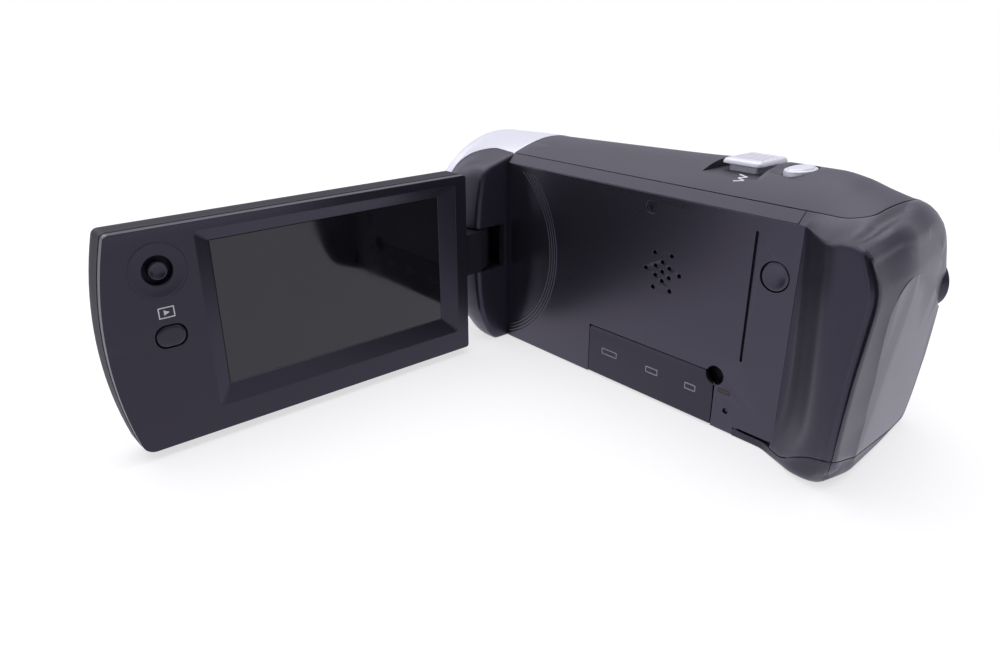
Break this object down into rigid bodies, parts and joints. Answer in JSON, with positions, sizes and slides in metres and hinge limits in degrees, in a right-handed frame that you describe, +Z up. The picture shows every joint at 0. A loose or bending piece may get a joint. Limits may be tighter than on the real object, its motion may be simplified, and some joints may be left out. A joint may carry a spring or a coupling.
{
  "type": "palm-size camcorder with folding screen",
  "caption": "Palm-size camcorder with a fold-out, tilting screen, covered lens, zoom lever, photo button, jack door, battery cover and hand belt.",
  "frame": {"origin": "mouth of the tripod socket in the base", "axes": "+X to the camcorder's right, away from the screen; +Y forward, towards the lens; +Z up"},
  "size_m": [0.1661, 0.128, 0.0603],
  "materials": {
    "dark_shell": "fine spark-eroded texture",
    "top_shell": "fine matte paint",
    "silver_shell": "satin silver paint",
    "gloss_black": "polished",
    "panel_plastic": "satin",
    "inner_black": "matte",
    "optical_glass": "coated",
    "screen_gloss": "polished dark screen window",
    "circuit_board": "solder mask",
    "chip_black": "moulded",
    "sheet_steel": "plated sheet",
    "pin_steel": "turned",
    "contact_brass": "plated",
    "lamp_lens": "clear amber",
    "battery_wrap": "matte",
    "mesh_fabric": "fine mesh",
    "webbing": "woven",
    "pad_fabric": "knitted padding"
  },
  "bodies": {
    "housing": {"side_panel": "dark_shell", "top_strip": "dark_shell", "top_cover": "top_shell", "right_shell": "dark_shell", "base_plate": "dark_shell", "rear_body": "dark_shell", "front_housing": "dark_shell", "front_ring": "silver_shell", "face_plate": "gloss_black", "lens_barrel": "inner_black", "front_lens": "optical_glass", "zoom_lens": "optical_glass", "focus_lens": "optical_glass", "lens_holders": "inner_black", "sensor_board": "circuit_board", "main_board": "circuit_board", "board_chips": "chip_black", "heat_shield": "sheet_steel", "jack_board": "circuit_board", "hdmi_socket": "sheet_steel", "usb_socket": "sheet_steel", "card_slot": "sheet_steel", "speaker": "sheet_steel", "speaker_mesh": "mesh_fabric", "microphones": "sheet_steel", "door_pins": "pin_steel", "access_lamp": "lamp_lens", "control_board": "circuit_board", "control_switches": "sheet_steel", "record_collar": "silver_shell", "battery_case": "inner_black", "battery_pack": "battery_wrap", "battery_contacts": "contact_brass", "tripod_socket": "pin_steel", "case_screws": "pin_steel", "belt_anchors": "dark_shell", "hand_belt": "webbing", "belt_pad": "pad_fabric", "hinge_pin": "pin_steel"},
    "upper_blade": {"shutter_upper": "gloss_black"},
    "lower_blade": {"shutter_lower": "gloss_black"},
    "cover_knob": {"cover_switch": "dark_shell"},
    "port_door": {"jack_door": "dark_shell"},
    "reset_plunger": {"reset_button": "inner_black"},
    "power_key": {"power_button": "dark_shell"},
    "zoom_rocker": {"zoom_lever": "silver_shell"},
    "photo_key": {"photo_button": "silver_shell"},
    "record_key": {"record_button": "dark_shell"},
    "battery_lid": {"battery_cover": "dark_shell"},
    "lid_latch": {"battery_latch": "dark_shell"},
    "turning_block": {"hinge_block": "gloss_black", "tilt_shaft": "pin_steel"},
    "screen_panel": {"panel_bezel": "panel_plastic", "panel_shell": "panel_plastic", "screen_glass": "screen_gloss", "screen_module": "sheet_steel", "tilt_bracket": "sheet_steel"},
    "selector_gimbal": {"selector_ring": "pin_steel"},
    "selector": {"selector_stick": "panel_plastic"},
    "view_key": {"view_button": "panel_plastic"}
  },
  "joints": [
    {"name": "screen_swing", "type": "hinge", "parent": "housing", "child": "turning_block", "pos_m": [-0.0252, 0.0493, 0.0285], "axis": [0, 0, -1], "range_deg": [-90, 0]},
    {"name": "screen_tilt", "type": "hinge", "parent": "turning_block", "child": "screen_panel", "pos_m": [-0.0323, 0.04575, 0.0285], "axis": [-1, 0, 0], "range_deg": [0, 180]},
    {"name": "selector_rock_up_down", "type": "hinge", "parent": "screen_panel", "child": "selector_gimbal", "pos_m": [-0.1123, 0.0437, 0.042], "axis": [1, 0, 0], "range_deg": [-8, 8], "stiffness_Nm_per_rad": 0.009},
    {"name": "selector_rock_sideways", "type": "hinge", "parent": "selector_gimbal", "child": "selector", "pos_m": [-0.1123, 0.0437, 0.042], "axis": [0, 0, 1], "range_deg": [-8, 8], "stiffness_Nm_per_rad": 0.009},
    {"name": "view_press", "type": "slide", "parent": "screen_panel", "child": "view_key", "axis": [0, 1, 0], "range_m": [0, 0.0005], "stiffness_N_per_m": 600},
    {"name": "zoom", "type": "slide", "parent": "housing", "child": "zoom_rocker", "axis": [1, 0, 0], "range_m": [-0.0025, 0.0025], "stiffness_N_per_m": 200},
    {"name": "photo_press", "type": "slide", "parent": "housing", "child": "photo_key", "axis": [0, 0, -1], "range_m": [0, 0.001], "stiffness_N_per_m": 600},
    {"name": "record_press", "type": "slide", "parent": "housing", "child": "record_key", "axis": [-0.866, 0.5, 0], "range_m": [0, 0.0005], "stiffness_N_per_m": 600},
    {"name": "power_press", "type": "slide", "parent": "housing", "child": "power_key", "axis": [1, 0, 0], "range_m": [0, 0.0005], "stiffness_N_per_m": 600},
    {"name": "reset_press", "type": "slide", "parent": "housing", "child": "reset_plunger", "axis": [1, 0, 0], "range_m": [0, 0.0004], "stiffness_N_per_m": 300},
    {"name": "port_door_swing", "type": "hinge", "parent": "housing", "child": "port_door", "pos_m": [-0.01495, -0.0102, 0.0012], "axis": [0, -1, 0], "range_deg": [0, 90]},
    {"name": "battery_lid_slide", "type": "slide", "parent": "housing", "child": "battery_lid", "axis": [0, -1, 0], "range_m": [0, 0.024]},
    {"name": "lid_latch_slide", "type": "slide", "parent": "housing", "child": "lid_latch", "axis": [0, 1, 0], "range_m": [0, 0.0015], "stiffness_N_per_m": 200},
    {"name": "lens_cover_knob", "type": "slide", "parent": "housing", "child": "cover_knob", "axis": [0, 0, -1], "range_m": [0, 0.004]},
    {"name": "upper_blade_slide", "type": "slide", "parent": "housing", "child": "upper_blade", "axis": [0, 0, -1], "range_m": [0, 0.0102]},
    {"name": "lower_blade_slide", "type": "slide", "parent": "housing", "child": "lower_blade", "axis": [0, 0, 1], "range_m": [0, 0.0102]}
  ],
  "couplings": [
    {"joint": "upper_blade_slide", "follows": "lens_cover_knob", "ratio": 2.55},
    {"joint": "lower_blade_slide", "follows": "lens_cover_knob", "ratio": 2.55}
  ]
}
